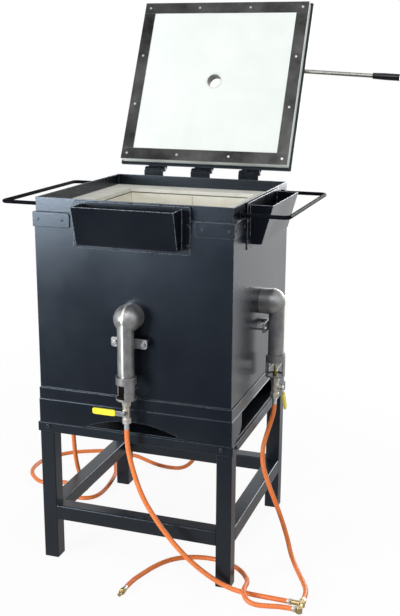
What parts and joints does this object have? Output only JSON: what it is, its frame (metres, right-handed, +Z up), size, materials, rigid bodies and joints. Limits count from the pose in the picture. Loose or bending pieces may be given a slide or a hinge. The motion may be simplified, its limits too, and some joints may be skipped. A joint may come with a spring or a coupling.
{
  "type": "gas melting furnace",
  "caption": "Square gas melting furnace on a tube stand, with a hinged lid, side burners, charging trays, lifting bails and gas hoses.",
  "frame": {"origin": "on the floor, at the middle of the furnace's bounding box with its lid open, hoses left out", "axes": "+Z up, -Y toward the front burner, +X toward the lid handle"},
  "size_m": [1.3605, 1.1268, 1.8169],
  "materials": {
    "black_paint": "satin",
    "steel": "satin",
    "lid_steel": "brushed",
    "zinc": "bright",
    "cast_metal": "satin",
    "nickel": "satin",
    "brass": "satin",
    "refractory": "matte",
    "fibre": "matte",
    "rubber": "satin",
    "yellow_sleeve": "gloss",
    "orange_hose": "satin"
  },
  "bodies": {
    "furnace_body": {"leg_front_left": "black_paint", "leg_front_right": "black_paint", "leg_rear_right": "black_paint", "leg_rear_left": "black_paint", "stretchers": "black_paint", "top_frame": "black_paint", "stand_plate": "black_paint", "skirt": "black_paint", "base_tray": "black_paint", "casing": "black_paint", "wall_insulation": "fibre", "hearth_slab": "refractory", "brick_wall_front": "refractory", "brick_wall_right": "refractory", "brick_wall_rear": "refractory", "brick_wall_left": "refractory", "lining_cap": "refractory", "collar": "black_paint", "corner_brackets": "black_paint", "body_screws": "black_paint", "bail_left": "black_paint", "bail_right": "black_paint", "tray_front": "black_paint", "tray_right": "black_paint", "hinge_body_leaves": "black_paint", "hinge_pins": "steel", "burner_tube_front": "cast_metal", "burner_tube_right": "cast_metal", "burner_tube_rear": "cast_metal", "burner_tube_left": "cast_metal", "air_housings": "cast_metal", "gas_jets": "brass", "burner_brackets": "cast_metal", "burner_bolts": "zinc", "gas_valves": "nickel", "hose_front": "orange_hose", "hose_right": "orange_hose", "hose_rear": "orange_hose", "hose_left": "orange_hose", "hose_inlet_right": "orange_hose", "hose_inlet_left": "orange_hose", "hose_tee_right": "brass", "hose_tee_left": "brass", "hose_connector_right": "brass", "hose_connector_left": "brass"},
    "lid": {"lid_plate": "black_paint", "lid_frame": "lid_steel", "lid_fibre": "fibre", "lid_screws": "zinc", "lid_handle_rod": "steel", "lid_grip": "rubber", "hinge_lid_leaves": "black_paint"},
    "valve_lever_front": {"lever_front": "zinc", "lever_sleeve_front": "yellow_sleeve"},
    "valve_lever_right": {"lever_right": "zinc", "lever_sleeve_right": "yellow_sleeve"},
    "valve_lever_rear": {"lever_rear": "zinc", "lever_sleeve_rear": "yellow_sleeve"},
    "valve_lever_left": {"lever_left": "zinc", "lever_sleeve_left": "yellow_sleeve"}
  },
  "joints": [
    {"name": "lid_hinge", "type": "hinge", "parent": "furnace_body", "child": "lid", "pos_m": [-0.0925, 0.21924, 1.23], "axis": [1, 0, 0], "range_deg": [0, 116]},
    {"name": "valve_lever_front_turn", "type": "hinge", "parent": "furnace_body", "child": "valve_lever_front", "pos_m": [-0.0925, -0.50706, 0.572], "axis": [0, -1, 0], "range_deg": [0, 90]},
    {"name": "valve_lever_right_turn", "type": "hinge", "parent": "furnace_body", "child": "valve_lever_right", "pos_m": [0.2978, -0.11676, 0.572], "axis": [1, 0, 0], "range_deg": [-30, 60]},
    {"name": "valve_lever_rear_turn", "type": "hinge", "parent": "furnace_body", "child": "valve_lever_rear", "pos_m": [-0.0925, 0.27354, 0.572], "axis": [0, 1, 0], "range_deg": [0, 90]},
    {"name": "valve_lever_left_turn", "type": "hinge", "parent": "furnace_body", "child": "valve_lever_left", "pos_m": [-0.4828, -0.11676, 0.572], "axis": [-1, 0, 0], "range_deg": [0, 90]}
  ]
}
